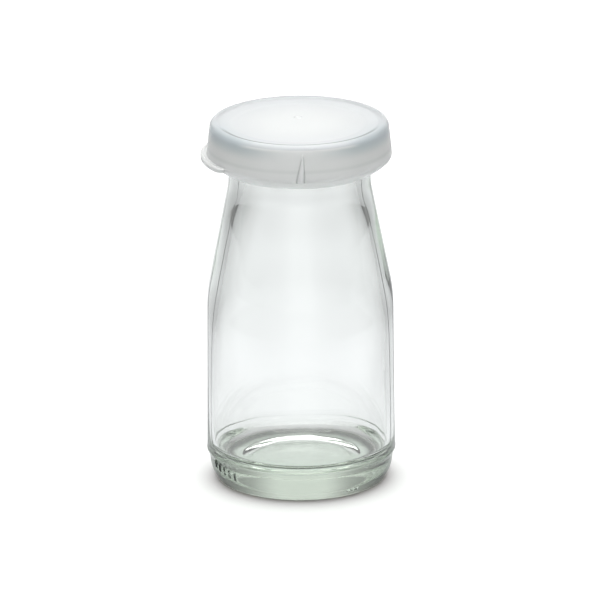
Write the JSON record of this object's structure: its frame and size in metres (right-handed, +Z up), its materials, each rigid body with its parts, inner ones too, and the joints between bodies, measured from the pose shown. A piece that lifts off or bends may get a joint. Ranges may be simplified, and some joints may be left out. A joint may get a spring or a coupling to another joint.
{
  "type": "small glass bottle with snap cap",
  "caption": "Empty clear glass bottle for a single serving, with a straight body, tapered shoulder, thick base and a frosted soft snap cap with a pull tab.",
  "frame": {"origin": "on the bottle's axis in the plane of the ring that it stands on, which is also the bottom centre of its bounding box to within the pull tab's reach", "axes": "+Z up along the bottle's axis, -X towards the cap's pull tab, -Y towards the rib on the cap's skirt"},
  "size_m": [0.0535, 0.0523, 0.1029],
  "materials": {
    "clear_glass": "smooth clear soda-lime glass with a faint green tint, darker green in the thick base",
    "frosted_plastic": "milky translucent soft plastic with a satin surface"
  },
  "bodies": {
    "root": {"glass_bottle": "clear_glass", "snap_cap": "frosted_plastic"}
  },
  "joints": []
}
